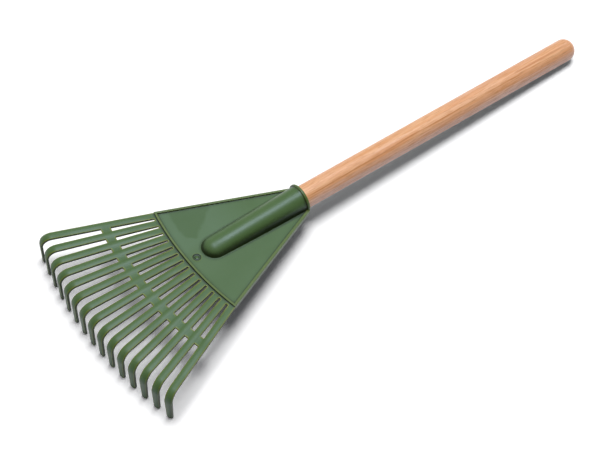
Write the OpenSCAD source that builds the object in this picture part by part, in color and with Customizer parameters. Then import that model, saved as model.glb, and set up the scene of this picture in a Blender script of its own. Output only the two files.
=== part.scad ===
// Sand rake with a moulded fan head on a wooden handle, standing on its tine tips and handle end.
// Millimetres. X runs from the tine tips to the handle's free end, Z up, Z = 0 is the ground.

/* [Fan of tines] */
// Number of tines, odd so that one lies on the centre line
tine_count = 15; // [9:2:15]
// Angle between neighbouring tines, in degrees
tine_pitch_angle = 3.32; // [3:0.01:3.6]
// Distance from the fan's centre to the start of the middle slots
slot_start = 157.5; // [157:0.5:170]
// Distance from the fan's centre to the near edge of the cross band
band_start = 199; // [185:0.5:205]
// Width of the cross band along the tines
band_w = 9.5; // [6:0.5:14]
// Thickness of the cross band
band_t = 2.2; // [1.6:0.1:2.4]
// Distance from the fan's centre to the outer face of the middle tine
tine_reach = 266; // [255:0.5:290]
// Distance behind the fan's centre of the point that all the arcs share
arc_setback = 178; // [120:1:260]

/* [Tines] */
// Width of a tine where it leaves the web
tine_root_w = 7.2; // [5.6:0.1:7.6]
// Width of a tine at its bend
tine_bend_w = 7.9; // [6.4:0.1:9]
// Width of a tine at its cut-off tip
tine_tip_w = 6.4; // [4:0.1:7]
// Thickness of a tine along its edges
tine_edge_t = 2.2; // [1.8:0.1:3.2]
// Rise of a tine's crowned face above its edges
tine_crown = 0.8; // [0.4:0.1:1.2]
// Length over which the crown rises from the flat root
crown_run = 18; // [8:1:30]
// Radius of the bend on its outer face
bend_r = 12; // [8:0.5:18]
// Drop from the top of the fan to the ground
tine_drop = 37.5; // [30:0.5:40]
// Corner taken off each side of a tip
tip_corner = 0.9; // [0.3:0.1:1.6]

/* [Web] */
// Distance from the fan's centre to the outer side of the root rib
rib_start = 155; // [154:0.5:156.5]
// Width of the root rib
rib_w = 2.2; // [1.6:0.1:4]
// Fall of the web towards the socket's mouth, in degrees
web_slope = 3.6; // [2:0.1:5]
// Thickness of the web
web_t = 2.4; // [1.8:0.1:3.4]
// Height of the web above the fan at the root rib
web_rise = 0.6; // [0:0.1:1.2]
// Half-width of the web at the socket's mouth
web_mouth_half_w = 16.6; // [15:0.1:20]
// Width of the side rims
rim_w = 2.6; // [1.8:0.1:4]
// Height of the side rims and root rib above the web
rim_h = 1.3; // [0.6:0.1:2.5]
// Depth of the side rims below the web
rim_skirt = 0.9; // [0:0.1:3]

/* [Gate mark] */
// Diameter of the round dimple left by the mould's gate
gate_d = 8; // [5:0.5:10]
// Depth of the dimple
gate_depth = 0.9; // [0.4:0.1:1.4]
// Diameter of the nub inside the dimple
gate_nub_d = 3.8; // [2:0.1:4.5]
// Distance from the outer side of the root rib to the centre of the dimple
gate_inset = 10.6; // [7:0.1:11]

/* [Socket] */
// Distance from the fan's centre to the socket's mouth
mouth_reach = 21.3; // [18:0.1:22]
// Length of the socket from its mouth to the centre of its domed end
socket_len = 103; // [94:1:104]
// Radius of the socket at its mouth
socket_mouth_r = 14.2; // [13.9:0.1:16]
// Radius of the socket's domed end
socket_end_r = 13.7; // [13:0.1:14.5]
// Depth of the socket's upper centre line below the top of the fan
socket_fall = 6.1; // [5:0.1:8]
// Wall between the tapered bore and the outside on the underside
socket_wall = 1.8; // [1.5:0.1:2]
// Radius of the collar round the mouth
collar_r = 16; // [15:0.1:18]
// Width of the collar
collar_w = 3; // [2.4:0.1:5]
// Rounding of the collar's two edges
collar_round = 1; // [0.4:0.1:1.1]

/* [Handle] */
// Diameter of the wooden handle
handle_d = 24; // [22:0.1:25]
// Length of the handle outside the socket
handle_len = 355.6; // [330:0.1:600]
// Fillet round the handle's free end
handle_end_fillet = 11; // [2:0.5:11.5]
// Length of the handle's taper inside the socket
taper_len = 80; // [50:1:85]
// Diameter of the handle's inner end
taper_end_d = 16; // [12:0.1:17]
// Depth of the handle's centre line below the top of the fan, at the mouth
handle_fall = 6.7; // [6.3:0.1:8]

/* [Fixing screw] */
// Diameter of the screw's shank
screw_d = 3.5; // [2.5:0.1:4.5]
// Diameter of the screw's head
screw_head_d = 7; // [5.5:0.1:9]
// Height of the screw's head
screw_head_h = 2.2; // [1.4:0.1:3]
// Length of the shank under the head
screw_len = 14; // [8:0.5:18]
// Distance from the mouth to the screw
screw_inset = 24; // [12:1:40]

/* [Hidden] */
// Gap all round the handle in its bore, and round the screw in the socket's wall
bore_gap = 0.1;
screw_gap = 0.2;
// Air space beyond the handle's inner end
bore_spare = 4;
// Pad under the screw's head, around it and above the socket's underside
screw_pad_margin = 1.6;
screw_pad_h = 1.2;
// Width and depth of the slot across the screw's head
screw_slot_w = 1;
screw_slot_depth = 1;
// Height of the gate's nub below the web's surface
gate_nub_sink = 0.2;
// Overrun of every cut past the face it leaves
over = 1;
// Side of the blocks that bound or cut a solid
big = 400;
// Smoothness of the long arcs and of the round pieces
arc_fn = 360;
round_fn = 96;

tine_middle = (tine_count + 1) / 2;
function tine_angle(i) = (tine_middle - i) * tine_pitch_angle;
edge_angle = tine_angle(1);
crown_r = (pow(tine_bend_w / 2, 2) + pow(tine_crown, 2)) / (2 * tine_crown);
crown_run_angle = atan2(tine_crown, crown_run);
bend_reach = tine_reach - bend_r;

// Radius about the shared point of the arc that crosses the centre line at a given reach
function arc_at(reach) = reach + arc_setback;
slot_arc = arc_at(slot_start);
rib_arc = arc_at(rib_start);
band_arc = arc_at(band_start);

// Reach of an arc along a line at an angle from the centre line, offset outwards from the fan's centre
function reach_to(arc, angle, offset) =
    sqrt(pow(arc, 2) - pow(arc_setback * sin(angle) - offset, 2)) - arc_setback * cos(angle);

// Point at a reach along such a line, in the plan of the fan
function fan_point(reach, angle, offset) =
    [-reach * cos(angle) + offset * sin(angle), reach * sin(angle) + offset * cos(angle)];

// Corner where the web's side meets the outermost tine's outer edge
corner_reach = reach_to(slot_arc, edge_angle, tine_root_w / 2);
corner = fan_point(corner_reach, edge_angle, tine_root_w / 2);
mouth_corner = [-mouth_reach - collar_w / 2, web_mouth_half_w];
side_angle = atan2(corner.y - mouth_corner.y, mouth_corner.x - corner.x);
rim_dy = rim_w / cos(side_angle);

// The handle leans down from the mouth until its rounded end touches the ground
handle_r = handle_d / 2;
taper_end_r = taper_end_d / 2;
axis_h = tine_drop - handle_fall;
end_at = handle_len - handle_end_fillet;
end_r = handle_r - handle_end_fillet;
handle_lean = asin((axis_h - handle_end_fillet) / norm([end_at, end_r])) - atan2(end_r, end_at);
handle_end_x = -mouth_reach + end_at * cos(handle_lean) + end_r * sin(handle_lean) + handle_end_fillet;

// Place of the fan's centre, so that the ground under the middle of the rake is the origin
fan_x = (tine_reach + tine_crown - handle_end_x) / 2;

screw_pad_r = screw_head_d / 2 + screw_pad_margin;
taper_share = (handle_r - taper_end_r) / taper_len;
bore_mouth_r = handle_r + bore_gap;
bore_depth = taper_len + bore_spare;
bore_end_r = bore_mouth_r - taper_share * bore_depth;
lower_mouth_r = bore_mouth_r + socket_wall;
screw_seat = lower_mouth_r - taper_share * screw_inset + screw_pad_h;

// Names of the sub-parts, with the tines numbered from the +Y side
two_digits_from = 10;
tine_numbers = [1:tine_count];
function tine_name(i) = str("tine_", i < two_digits_from ? "0" : "", i);

// Fan frame: origin at the fan's centre on top of the fan
module in_fan() translate([fan_x, 0, tine_drop]) children();

// Handle frame: origin on the centre line at the mouth, X along the handle to its free end
module on_handle()
    in_fan() translate([-mouth_reach, 0, -handle_fall]) rotate([0, handle_lean, 0]) children();

// Lays a solid drawn along Z down along X
module along_x() rotate([0, 90, 0]) children();

// Disc about the shared point of the arcs
module arc_disc(arc) translate([arc_setback, 0]) circle(r = arc, $fn = arc_fn);

// Plan of the web between its two sides, run on past the arcs that trim it
module web_plan() {
    run_on = [corner.x - over * cos(side_angle), corner.y + over * sin(side_angle)];
    far_x = -slot_start - over * 2;
    polygon([
        mouth_corner, run_on, [far_x, run_on.y],
        [far_x, -run_on.y], [run_on.x, -run_on.y], [mouth_corner.x, -mouth_corner.y]
    ]);
}

// Plan of one side rim, on the +Y side
module rim_plan() {
    run_on = [corner.x - over * cos(side_angle), corner.y + over * sin(side_angle)];
    polygon([mouth_corner, run_on, run_on - [0, rim_dy], mouth_corner - [0, rim_dy]]);
}

// Block that follows the web's slope, between two heights above the web's upper face
module sloped_layer(low, high) {
    translate([-rib_start, 0, web_rise]) rotate([0, web_slope, 0])
        translate([-big / 2, -big / 2, low]) cube([big, big, high - low]);
}

// Sloping web, its two rims, the rib across its root and the strip that the tines grow from
module web_solid() {
    intersection() {
        linear_extrude(big, center = true) intersection() {
            web_plan();
            arc_disc(rib_arc);
        }
        sloped_layer(-web_t, 0);
    }
    for (side = [0, 1]) mirror([0, side, 0]) intersection() {
        linear_extrude(big, center = true) intersection() {
            rim_plan();
            arc_disc(rib_arc);
        }
        sloped_layer(-web_t - rim_skirt, rim_h);
    }
    intersection() {
        translate([0, 0, -tine_edge_t]) linear_extrude(big) difference() {
            intersection() {
                web_plan();
                arc_disc(rib_arc);
            }
            arc_disc(rib_arc - rib_w);
        }
        sloped_layer(-big / 2, rim_h);
    }
    translate([0, 0, -tine_edge_t]) linear_extrude(tine_edge_t) difference() {
        intersection() {
            web_plan();
            arc_disc(slot_arc);
        }
        arc_disc(rib_arc - rib_w / 2);
    }
}

// Round dimple with a nub in it, cut down from the web's upper face
module gate_cut() {
    translate([-rib_start, 0, web_rise]) rotate([0, web_slope, 0]) translate([gate_inset, 0, 0])
        difference() {
            translate([0, 0, -gate_depth]) cylinder(d = gate_d, h = gate_depth + over, $fn = round_fn);
            translate([0, 0, -gate_depth - over])
                cylinder(d = gate_nub_d, h = gate_depth + over - gate_nub_sink, $fn = round_fn);
        }
}

// Tapered round body with a domed end, from a mouth at the origin towards -X
module domed_body(mouth_r, end_r, length) {
    translate([-length, 0, 0]) {
        along_x() cylinder(r1 = end_r, r2 = mouth_r, h = length, $fn = round_fn);
        sphere(r = end_r, $fn = round_fn);
    }
}

// Outside of the socket: a domed half on the web, and a half under the web that follows the bore
module socket_outside() {
    intersection() {
        in_fan() translate([-mouth_reach - collar_w / 2, 0, -socket_fall])
            domed_body(socket_mouth_r, socket_end_r, socket_len - collar_w / 2);
        in_fan() sloped_layer(-web_t, big / 2);
    }
    intersection() {
        on_handle() translate([-collar_w / 2, 0, 0])
            domed_body(lower_mouth_r, bore_end_r + socket_wall, bore_depth - collar_w / 2);
        in_fan() sloped_layer(-big / 2, -web_t / 2);
    }
    on_handle() translate([-collar_w, 0, 0]) along_x() collar_ring();
}

// Collar with rounded edges, drawn along Z with one face at the origin
module collar_ring() {
    rotate_extrude($fn = round_fn) {
        square([collar_r - collar_round, collar_w]);
        translate([0, collar_round]) square([collar_r, collar_w - collar_round * 2]);
        for (edge = [collar_round, collar_w - collar_round])
            translate([collar_r - collar_round, edge]) circle(r = collar_round, $fn = round_fn / 2);
    }
}

// Tapered bore for the handle
module socket_bore() {
    on_handle() translate([-bore_depth, 0, 0]) along_x() {
        cylinder(r1 = bore_end_r, r2 = bore_mouth_r, h = bore_depth, $fn = round_fn);
        translate([0, 0, bore_depth - over / 2]) cylinder(r = bore_mouth_r, h = over, $fn = round_fn);
    }
}

// Screw frame: origin on the handle's centre line, Z down through the underside
module on_screw() on_handle() translate([-screw_inset, 0, 0]) rotate([180, 0, 0]) children();

// Crowned section of a tine: width along X, height along Y, the top of its edges at zero
module tine_section() {
    half_w = tine_bend_w / 2 + over;
    intersection() {
        translate([0, tine_crown - crown_r]) circle(r = crown_r, $fn = round_fn);
        translate([-half_w, -tine_edge_t]) square([half_w * 2, tine_edge_t + tine_crown]);
    }
}

// Swept tine along +X from the fan's centre: a straight run, the bend and the drop
module tine_sweep(from) {
    translate([from, 0, 0]) rotate([90, 0, 90]) linear_extrude(bend_reach - from) tine_section();
    translate([bend_reach, 0, -bend_r]) rotate([90, 0, 0])
        rotate_extrude(angle = 90, $fn = round_fn) translate([bend_r, 0]) rotate(-90) tine_section();
    translate([tine_reach, 0, -tine_drop]) linear_extrude(tine_drop - bend_r) rotate(-90) tine_section();
}

// Plan of a tine on its own line, which widens from its root to the bend
module tine_plan(from, root) {
    half_plan = [
        [from, tine_root_w / 2], [root, tine_root_w / 2], [bend_reach, tine_bend_w / 2],
        [bend_reach, tine_bend_w / 2 + over], [tine_reach + bend_r, tine_bend_w / 2 + over]
    ];
    polygon(concat(half_plan, [for (i = [len(half_plan) - 1:-1:0]) [half_plan[i].x, -half_plan[i].y]]));
}

// Front view of a tine, which narrows from the bend to the tip
module tine_front() {
    half_front = [
        [tine_bend_w / 2, bend_r], [tine_bend_w / 2, -bend_r],
        [tine_tip_w / 2, tip_corner - tine_drop], [tine_tip_w / 2 - tip_corner, -tine_drop]
    ];
    polygon(concat(half_front, [for (i = [len(half_front) - 1:-1:0]) [-half_front[i].x, half_front[i].y]]));
}

// Distance that a tine's line is longer than the middle one, to reach the arc of the tips
function tine_stretch(angle) = reach_to(arc_at(tine_reach), angle, 0) - tine_reach;

// Plan of the tine at an angle, in the fan
module tine_in_plan(angle) {
    stretch = tine_stretch(angle);
    rotate(180 - angle) translate([stretch, 0])
        tine_plan(slot_start / 2, reach_to(slot_arc, angle, 0) - stretch);
}

// One tine at its angle, cut to meet the web, with its crown fading out at the root
module tine(angle) color([0.33, 0.44, 0.32]) {
    stretch = tine_stretch(angle);
    root = reach_to(slot_arc, angle, 0);
    in_fan() difference() {
        intersection() {
            rotate([0, 0, 180 - angle]) translate([stretch, 0, 0]) intersection() {
                tine_sweep(slot_start / 2);
                rotate([90, 0, 90]) linear_extrude(big) tine_front();
            }
            linear_extrude(big, center = true) tine_in_plan(angle);
        }
        translate([arc_setback, 0, 0]) cylinder(r = slot_arc, h = big, center = true, $fn = arc_fn);
        rotate([0, 0, 180 - angle]) translate([root, -tine_bend_w, 0]) rotate([0, -crown_run_angle, 0])
            translate([-crown_run, 0, 0]) cube([crown_run * 3, tine_bend_w * 2, tine_crown * 2]);
    }
}

// Arched band, in pieces between the tines
module cross_band_plan() {
    difference() {
        intersection() {
            arc_disc(band_arc + band_w);
            polygon([[0, 0], fan_point(tine_reach, edge_angle, 0), fan_point(tine_reach, -edge_angle, 0)]);
        }
        arc_disc(band_arc);
        for (i = tine_numbers) tine_in_plan(tine_angle(i));
    }
}

module head_plate() color([0.34, 0.45, 0.33]) difference() {
    in_fan() web_solid();
    socket_outside();
    in_fan() gate_cut();
}

module socket() color([0.30, 0.41, 0.30]) difference() {
    union() {
        socket_outside();
        on_screw() cylinder(r = screw_pad_r, h = screw_seat, $fn = round_fn);
    }
    socket_bore();
    on_screw() cylinder(r = screw_d / 2 + screw_gap, h = big, $fn = round_fn);
}

module cross_band() color([0.32, 0.43, 0.31]) {
    in_fan() translate([0, 0, -band_t]) linear_extrude(band_t) cross_band_plan();
}

module handle() color([0.86, 0.66, 0.46]) difference() {
    on_handle() {
        translate([-taper_len, 0, 0]) along_x()
            cylinder(r1 = taper_end_r, r2 = handle_r, h = taper_len, $fn = round_fn);
        along_x() rotate_extrude($fn = round_fn) {
            square([handle_r, end_at]);
            square([end_r, handle_len]);
            intersection() {
                translate([end_r, end_at]) circle(r = handle_end_fillet, $fn = round_fn);
                square([handle_r, handle_len]);
            }
        }
    }
    on_screw() cylinder(d = screw_d, h = big, $fn = round_fn);
}

module fixing_screw() color([0.7, 0.7, 0.72]) on_screw() difference() {
    union() {
        translate([0, 0, screw_seat]) cylinder(d = screw_head_d, h = screw_head_h, $fn = round_fn);
        translate([0, 0, screw_seat - screw_len])
            cylinder(d = screw_d, h = screw_len + screw_head_h / 2, $fn = round_fn);
    }
    translate([-screw_head_d, -screw_slot_w / 2, screw_seat + screw_head_h - screw_slot_depth])
        cube([screw_head_d * 2, screw_slot_w, screw_slot_depth + over]);
}

head_plate();
socket();
cross_band();
for (i = tine_numbers)
    tine(tine_angle(i));
handle();
fixing_screw();
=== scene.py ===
import math

import bmesh
import bpy
from mathutils import Euler, Matrix, Vector
from mathutils.geometry import delaunay_2d_cdt


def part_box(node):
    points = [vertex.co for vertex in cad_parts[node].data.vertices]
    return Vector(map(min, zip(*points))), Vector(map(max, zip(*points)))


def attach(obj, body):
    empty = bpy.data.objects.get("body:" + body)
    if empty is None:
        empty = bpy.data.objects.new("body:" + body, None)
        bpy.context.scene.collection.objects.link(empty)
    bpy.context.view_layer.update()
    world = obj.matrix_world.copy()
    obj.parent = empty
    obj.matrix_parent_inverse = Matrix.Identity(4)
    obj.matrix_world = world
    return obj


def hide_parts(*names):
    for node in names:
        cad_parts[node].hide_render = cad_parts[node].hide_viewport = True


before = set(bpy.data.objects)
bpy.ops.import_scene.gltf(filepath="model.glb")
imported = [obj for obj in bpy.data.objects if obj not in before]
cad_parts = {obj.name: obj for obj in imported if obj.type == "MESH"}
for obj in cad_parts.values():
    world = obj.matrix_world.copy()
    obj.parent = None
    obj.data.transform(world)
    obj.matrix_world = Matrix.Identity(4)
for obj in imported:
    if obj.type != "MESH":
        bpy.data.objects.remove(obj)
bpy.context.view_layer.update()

# Camera
# It stands where the photographer stood, above and behind the tines, and looks down at the rake
# from the front left with the handle running away to the upper right.
FOCAL_LENGTH_MM = 105.054
SENSOR_WIDTH_MM = 36
CAMERA_PLACE = Vector((-0.66961, -0.81906, 1.43821))
CAMERA_TURN = Euler([math.radians(turn) for turn in (35.049, -0.201, -36.894)])

camera_data = bpy.data.cameras.new("camera")
camera_data.lens = FOCAL_LENGTH_MM
camera_data.sensor_width = SENSOR_WIDTH_MM
camera_data.clip_end = 20
camera = bpy.data.objects.new("camera", camera_data)
camera.matrix_world = Matrix.Translation(CAMERA_PLACE) @ CAMERA_TURN.to_matrix().to_4x4()
bpy.context.scene.collection.objects.link(camera)
bpy.context.scene.camera = camera

# Fan of tines
# Fifteen crowned strips of the head's moulding, bent down at their ends, with the strip that they
# grow from and the arched band that ties them. One flat blank is drawn here, and Geometry Nodes
# lay fifteen of them side by side, weld and thicken them, and bend them into the fan.
MM = 0.001
TINES = 15
PITCH = math.radians(3.32)
ARC_SETBACK = 178 * MM
STRIP_START = 153.5 * MM
SLOT_START = 157.5 * MM
BAND_START = 199 * MM
BAND_END = 208.5 * MM
TINE_REACH = 266 * MM
ROOT_HALF_W = 3.6 * MM
BEND_HALF_W = 3.95 * MM
TIP_HALF_W = 3.2 * MM
TIP_CORNER = 0.9 * MM
TINE_T = 2.2 * MM
CROWN = 0.8 * MM
CROWN_RUN = 18 * MM
BEND_R = 12 * MM
BEND_STEPS = 12
FAN_TOP = 37.5 * MM
EDGE_ROUND = 0.38 * MM
EDGE_FROM_TURN = math.radians(40)
WELD = 0.01 * MM

bend_start = TINE_REACH - BEND_R
bend_end = bend_start + BEND_R * math.pi / 2
tip_at = bend_end + FAN_TOP - BEND_R
fan_centre = Vector((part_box("tine_08")[0].x + TINE_REACH + CROWN, 0, FAN_TOP))

# Rows of points along a tine, close together where it starts, passes the band and bends
strip_rows = [STRIP_START, SLOT_START - 2 * MM, SLOT_START - 0.8 * MM, SLOT_START]
root_rows = [SLOT_START + step * MM for step in (0.9, 3, 6.5, 10.5, 15.5, 21.5, 29, 36, 40.6)]
band_middle = (BAND_START + BAND_END) / 2
band_rows = [BAND_START, BAND_START + 0.9 * MM, band_middle, BAND_END - 0.9 * MM, BAND_END]
reach_rows = [BAND_END + step * MM for step in (0.9, 3, 7, 14, 24, 35)] + [bend_start]
bend_rows = [bend_start + (bend_end - bend_start) * k / BEND_STEPS for k in range(1, BEND_STEPS + 1)]
drop_rows = [bend_end + step * MM for step in (3, 8, 14, 20)] + [tip_at - TIP_CORNER, tip_at]
tine_rows = strip_rows + root_rows + band_rows + reach_rows + bend_rows + drop_rows
ACROSS_SHARES = (-1, -0.88, -0.6, -0.3, 0, 0.3, 0.6, 0.88, 1)


def ease(share):
    """Goes from 0 to 1 with a soft start and end."""
    share = min(max(share, 0), 1)
    return share * share * (3 - 2 * share)


def tine_half_width(row):
    """Half-width of a tine: it widens to the bend and narrows down the drop to its cut corners."""
    if row <= bend_start:
        widening = max(row - SLOT_START, 0) / (bend_start - SLOT_START)
        return ROOT_HALF_W + (BEND_HALF_W - ROOT_HALF_W) * widening
    if row == tip_at:
        return TIP_HALF_W - TIP_CORNER
    narrowing = max(row - bend_end, 0) / (tip_at - TIP_CORNER - bend_end)
    return BEND_HALF_W + (TIP_HALF_W - BEND_HALF_W) * narrowing


def tine_blank():
    """Flat sheet of one tine along X, with half of the strip and of the band out to each neighbour."""
    sheet = bmesh.new()
    across_layer = sheet.verts.layers.float.new("across")
    bridge_layer = sheet.verts.layers.float.new("bridge")
    rise_layer = sheet.verts.layers.float.new("rise")
    last_points = {}
    for row in tine_rows:
        half_width = tine_half_width(row)
        rise = CROWN * ease((row - SLOT_START) / CROWN_RUN)
        bridged = row in strip_rows or row in band_rows
        points = {}
        for place, share in enumerate(ACROSS_SHARES):
            point = sheet.verts.new((row, half_width * share, 0))
            point[across_layer] = half_width * share
            point[rise_layer] = rise * (1 - share * share)
            points[place] = point
        for place, side in ((-1, -1), (len(ACROSS_SHARES), 1)):
            if bridged:
                point = sheet.verts.new((row, side * BEND_HALF_W * 2, 0))
                point[bridge_layer] = side
                points[place] = point
        for place in points:
            corners = [
                last_points.get(place), last_points.get(place + 1), points.get(place + 1), points[place],
            ]
            if all(corners):
                sheet.faces.new(corners)
        last_points = points
    blank = bpy.data.meshes.new("tine_blank")
    sheet.to_mesh(blank)
    sheet.free()
    return blank


class Field:
    """A value that a node tree works out, written like a number in the rules below."""

    def __init__(self, tree, socket):
        self.tree = tree
        self.socket = socket

    def math(self, operation, *others):
        node = self.tree.nodes.new("ShaderNodeMath")
        node.operation = operation
        for place, value in enumerate((self,) + others):
            if isinstance(value, Field):
                self.tree.links.new(value.socket, node.inputs[place])
            else:
                node.inputs[place].default_value = value
        return Field(self.tree, node.outputs[0])

    def __add__(self, other):
        return self.math("ADD", other)

    def __sub__(self, other):
        return self.math("SUBTRACT", other)

    def __rsub__(self, other):
        return self.math("MULTIPLY_ADD", -1, other)

    def __mul__(self, other):
        return self.math("MULTIPLY", other)

    def __truediv__(self, other):
        return self.math("DIVIDE", other)

    def squared(self):
        return self.math("MULTIPLY", self)


def add_node(tree, kind, inputs=None, **settings):
    """Adds a node, sets its properties, and links or sets the inputs that are named."""
    node = tree.nodes.new(kind)
    for name, value in settings.items():
        setattr(node, name, value)
    for name, value in (inputs or {}).items():
        if isinstance(value, Field):
            value = value.socket
        if isinstance(value, bpy.types.NodeSocket):
            tree.links.new(value, node.inputs[name])
        else:
            node.inputs[name].default_value = value
    return node


def fan_tree():
    """Tree that turns one tine's blank into the whole fan. Returns it with its inputs by name."""
    tree = bpy.data.node_groups.new("fan_of_tines", "GeometryNodeTree")
    tree.interface.new_socket("Geometry", in_out="OUTPUT", socket_type="NodeSocketGeometry")
    inputs = {}
    for name, kind in (
        ("Blank", "Geometry"), ("Tines", "Int"), ("Pitch", "Float"), ("Arc setback", "Float"),
        ("Band end", "Float"), ("Reach", "Float"), ("Bend radius", "Float"), ("Thickness", "Float"),
        ("Weld", "Float"), ("Centre", "Vector"), ("Material", "Material"),
    ):
        inputs[name] = tree.interface.new_socket(name, in_out="INPUT", socket_type="NodeSocket" + kind)
    given = add_node(tree, "NodeGroupInput").outputs

    def value(name):
        return Field(tree, given[name])

    def attribute(name):
        node = add_node(tree, "GeometryNodeInputNamedAttribute", {"Name": name})
        return Field(tree, node.outputs["Attribute"])

    def store(geometry, name, field, domain="POINT"):
        node = add_node(
            tree, "GeometryNodeStoreNamedAttribute",
            {"Geometry": geometry, "Name": name, "Value": field}, domain=domain,
        )
        return node.outputs["Geometry"]

    def place_points(geometry, x, y, z):
        place = add_node(tree, "ShaderNodeCombineXYZ", {"X": x, "Y": y, "Z": z}).outputs[0]
        moved = add_node(tree, "GeometryNodeSetPosition", {"Geometry": geometry, "Position": place})
        return moved.outputs[0]

    def weld(geometry):
        return add_node(
            tree, "GeometryNodeMergeByDistance", {"Geometry": geometry, "Distance": value("Weld")}
        ).outputs[0]

    def coordinate(axis):
        position = add_node(tree, "GeometryNodeInputPosition").outputs[0]
        return Field(tree, add_node(tree, "ShaderNodeSeparateXYZ", {0: position}).outputs[axis])

    def reach_to(arc, angle, across):
        aside = value("Arc setback") * angle.math("SINE") - across
        half_chord = (arc.squared() - aside.squared()).math("SQRT")
        return half_chord - value("Arc setback") * angle.math("COSINE")

    line = add_node(tree, "GeometryNodeMeshLine", {"Count": value("Tines")})
    copies = add_node(
        tree, "GeometryNodeInstanceOnPoints", {"Points": line.outputs[0], "Instance": given["Blank"]}
    ).outputs[0]
    number = Field(tree, add_node(tree, "GeometryNodeInputIndex").outputs[0])
    copies = store(copies, "number", number, "INSTANCE")
    sheet = add_node(tree, "GeometryNodeRealizeInstances", {"Geometry": copies}).outputs[0]

    middle = (value("Tines") - 1) / 2
    from_middle = middle - attribute("number")
    on_end_tine = from_middle.math("ABSOLUTE").math("GREATER_THAN", middle - 0.5)
    outwards = (attribute("bridge") * from_middle).math("GREATER_THAN", 0.5)
    sheet = add_node(
        tree, "GeometryNodeDeleteGeometry", {"Geometry": sheet, "Selection": on_end_tine * outwards}
    ).outputs[0]

    turn = (from_middle + attribute("bridge") * 0.5) * value("Pitch")
    sheet = store(sheet, "turn", turn)
    angle = attribute("turn")
    across = attribute("across")
    row = coordinate("X")
    tip_arc = value("Reach") + value("Arc setback")
    bend_from = reach_to(tip_arc, angle, 0) - value("Bend radius")
    near = reach_to(row.math("MINIMUM", value("Band end")) + value("Arc setback"), angle, across)
    run = value("Reach") - value("Bend radius")
    share = ((row - value("Band end")) / (run - value("Band end"))).math("MAXIMUM", 0).math("MINIMUM", 1)
    reach = near + (bend_from - near) * share + (row - run).math("MAXIMUM", 0)
    sheet = store(sheet, "reach", reach)
    reach = attribute("reach")

    def on_fan(geometry, along, height):
        x = across * angle.math("SINE") - along * angle.math("COSINE")
        y = across * angle.math("COSINE") + along * angle.math("SINE")
        return place_points(geometry, x, y, height)

    sheet = weld(on_fan(sheet, reach, 0.0))
    top = add_node(
        tree, "GeometryNodeExtrudeMesh",
        {"Mesh": sheet, "Offset Scale": value("Thickness"), "Individual": False},
    ).outputs["Mesh"]
    under = add_node(tree, "GeometryNodeFlipFaces", {"Mesh": sheet}).outputs[0]
    joined = tree.nodes.new("GeometryNodeJoinGeometry")
    for part in (top, under):
        tree.links.new(part, joined.inputs[0])
    closed = weld(joined.outputs[0])

    on_top = coordinate("Z") / value("Thickness")
    height = (on_top - 1) * value("Thickness") + on_top * attribute("rise")
    radius = value("Bend radius") + height
    quarter = math.pi / 2
    bend = ((reach - bend_from) / value("Bend radius")).math("MAXIMUM", 0).math("MINIMUM", quarter)
    drop = (reach - bend_from - value("Bend radius") * quarter).math("MAXIMUM", 0)
    along = reach.math("MINIMUM", bend_from) + radius * bend.math("SINE")
    fan = on_fan(closed, along, radius * bend.math("COSINE") - value("Bend radius") - drop)
    for name in ("across", "bridge", "rise", "number", "turn", "reach"):
        fan = add_node(tree, "GeometryNodeRemoveAttribute", {"Geometry": fan, "Name": name}).outputs[0]
    placed = add_node(
        tree, "GeometryNodeSetPosition", {"Geometry": fan, "Offset": given["Centre"]}
    ).outputs[0]
    real = add_node(tree, "GeometryNodeRealizeInstances", {"Geometry": placed}).outputs[0]
    finished = add_node(
        tree, "GeometryNodeSetMaterial", {"Geometry": real, "Material": given["Material"]}
    ).outputs[0]
    output = add_node(tree, "NodeGroupOutput")
    tree.links.new(finished, output.inputs["Geometry"])
    return tree, inputs


def make_plain(piece):
    """Turns what a piece's modifiers make into its own plain mesh, and takes them off."""
    graph = bpy.context.evaluated_depsgraph_get()
    plain = bpy.data.meshes.new_from_object(
        piece.evaluated_get(graph), preserve_all_data_layers=True, depsgraph=graph
    )
    piece.modifiers.clear()
    piece.data = plain


head_plastic = bpy.data.materials.new("head_plastic")
fan = bpy.data.objects.new("fan", tine_blank())
bpy.context.scene.collection.objects.link(fan)
fan_modifier = fan.modifiers.new("fan_of_tines", "NODES")
fan_modifier.node_group, fan_inputs = fan_tree()
for input_name, input_value in {
    "Tines": TINES, "Pitch": PITCH, "Arc setback": ARC_SETBACK, "Band end": BAND_END,
    "Reach": TINE_REACH, "Bend radius": BEND_R, "Thickness": TINE_T, "Weld": WELD,
    "Centre": fan_centre, "Material": head_plastic,
}.items():
    fan_modifier[fan_inputs[input_name].identifier] = input_value
fan_edges = fan.modifiers.new("rounded_edges", "BEVEL")
fan_edges.width = EDGE_ROUND
fan_edges.segments = 2
fan_edges.limit_method = "ANGLE"
fan_edges.angle_limit = EDGE_FROM_TURN
make_plain(fan)

# Web and socket
# The triangular web falls gently to the handle. The round socket lies half above and half below it,
# with a domed end on top, and a narrower one underneath that follows the taper of the bore inside.
# Near the tines the mould's gate left a round dimple with a nub. All this is one closed sheet.
WEB_SLOPE = math.tan(math.radians(3.6))
WEB_T = 2.4 * MM
WEB_RISE = 0.6 * MM
RIB_START = 155 * MM
RIB_W = 2.2 * MM
RIM_W = 2.6 * MM
WEB_INSET = 0.6 * MM
MOUTH_REACH = 21.3 * MM
WEB_MOUTH_HALF_W = 16.6 * MM
SOCKET_LEN = 103 * MM
SOCKET_MOUTH_R = 14.2 * MM
SOCKET_END_R = 13.7 * MM
SOCKET_FALL = 6.1 * MM
SOCKET_WALL = 1.8 * MM
COLLAR_W = 3 * MM
HANDLE_R = 12 * MM
HANDLE_LEN = 355.6 * MM
HANDLE_END_FILLET = 11 * MM
HANDLE_FALL = 6.7 * MM
TAPER_LEN = 80 * MM
TAPER_END_R = 8 * MM
BORE_GAP = 0.1 * MM
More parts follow.
